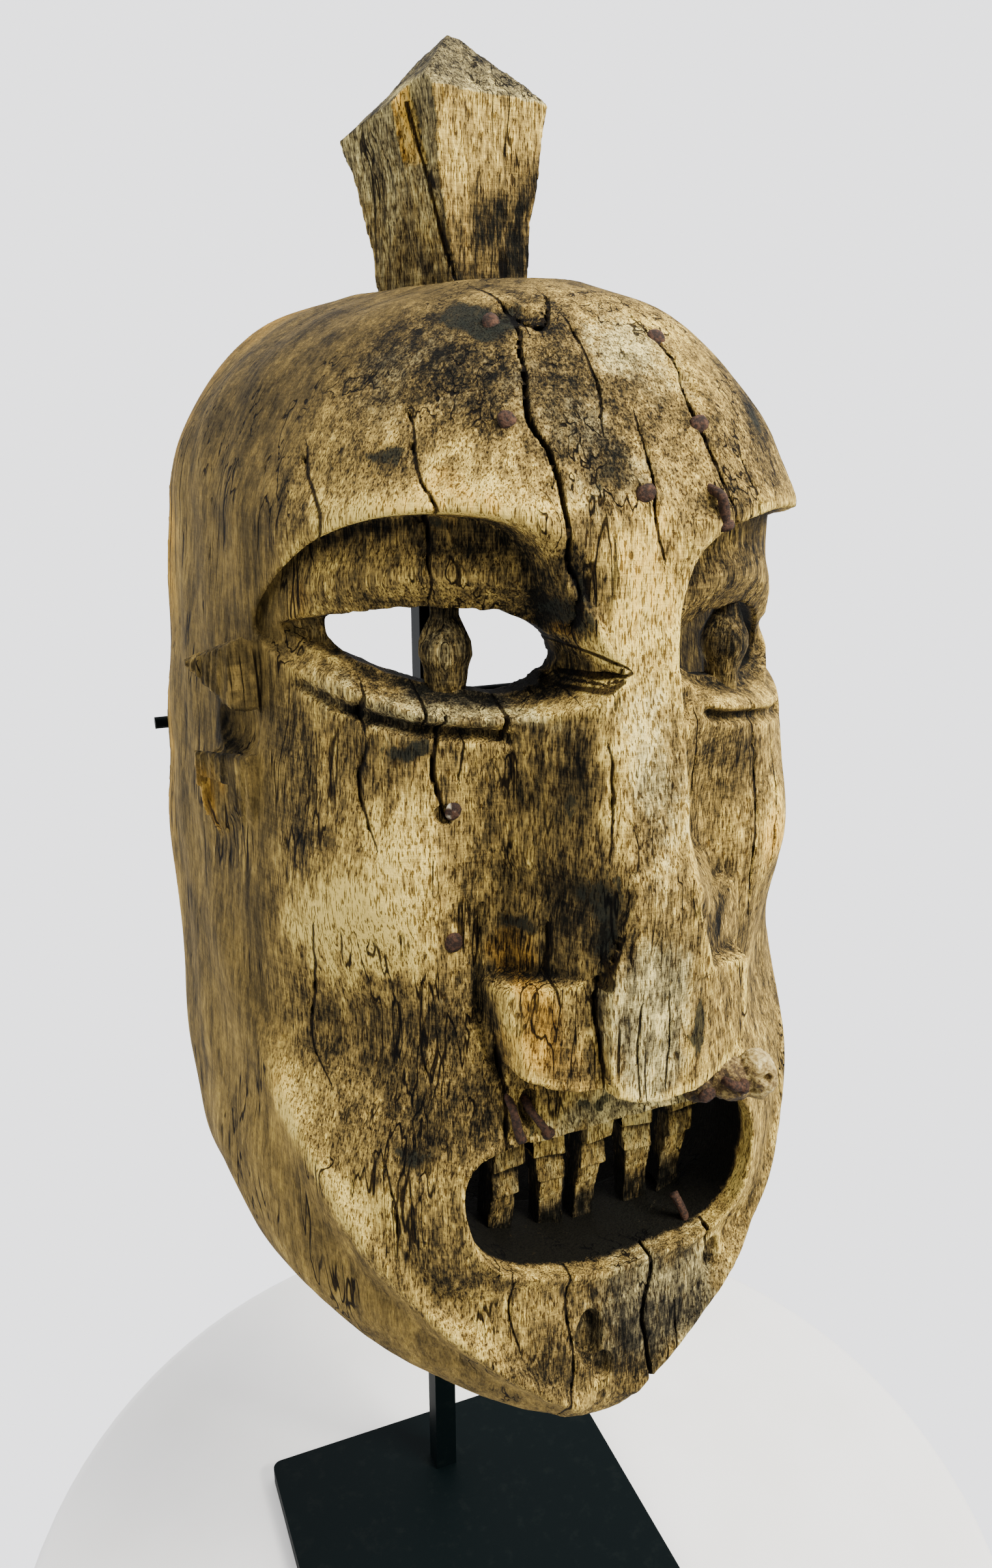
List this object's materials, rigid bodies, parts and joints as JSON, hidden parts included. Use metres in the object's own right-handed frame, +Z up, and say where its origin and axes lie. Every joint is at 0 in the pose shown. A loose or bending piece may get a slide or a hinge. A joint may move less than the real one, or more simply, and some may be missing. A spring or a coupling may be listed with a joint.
{
  "type": "carved wooden mask",
  "caption": "Weathered carved wooden face mask with a square crest, slotted eyes and open mouth, lifting off a black steel display stand",
  "frame": {"origin": "centre of the base plate's underside", "axes": "+Z up, the mask looks along -Y, +X to the mask's own left"},
  "size_m": [0.1998, 0.2031, 0.5792],
  "materials": {
    "weathered_wood": "bare weathered hardwood, tan with grey and dark brown stains, open pores and drying cracks",
    "dark_wood": "bare weathered hardwood, smoke-darkened",
    "rusty_iron": "hand-made iron, brown rust",
    "old_hide": "dried, torn hide",
    "black_steel": "satin black paint on steel"
  },
  "bodies": {
    "stand": {"base_plate": "black_steel", "post": "black_steel", "post_screw": "black_steel", "cross_bar": "black_steel", "top_hook": "black_steel"},
    "mask": {"mask_shell": "weathered_wood", "crest": "weathered_wood", "pupil_right": "dark_wood", "pupil_left": "dark_wood", "tooth_1": "dark_wood", "tooth_2": "dark_wood", "tooth_3": "dark_wood", "tooth_4": "dark_wood", "tooth_5": "dark_wood", "forehead_nails": "rusty_iron", "brow_nail": "rusty_iron", "cheek_nails": "rusty_iron", "lip_nails": "rusty_iron", "moustache_scrap": "old_hide", "moustache_nails": "rusty_iron", "mouth_nail": "rusty_iron"}
  },
  "joints": [
    {"name": "mask_lift", "type": "slide", "parent": "stand", "child": "mask", "axis": [0, 0, 1], "range_m": [0, 0.34]}
  ]
}
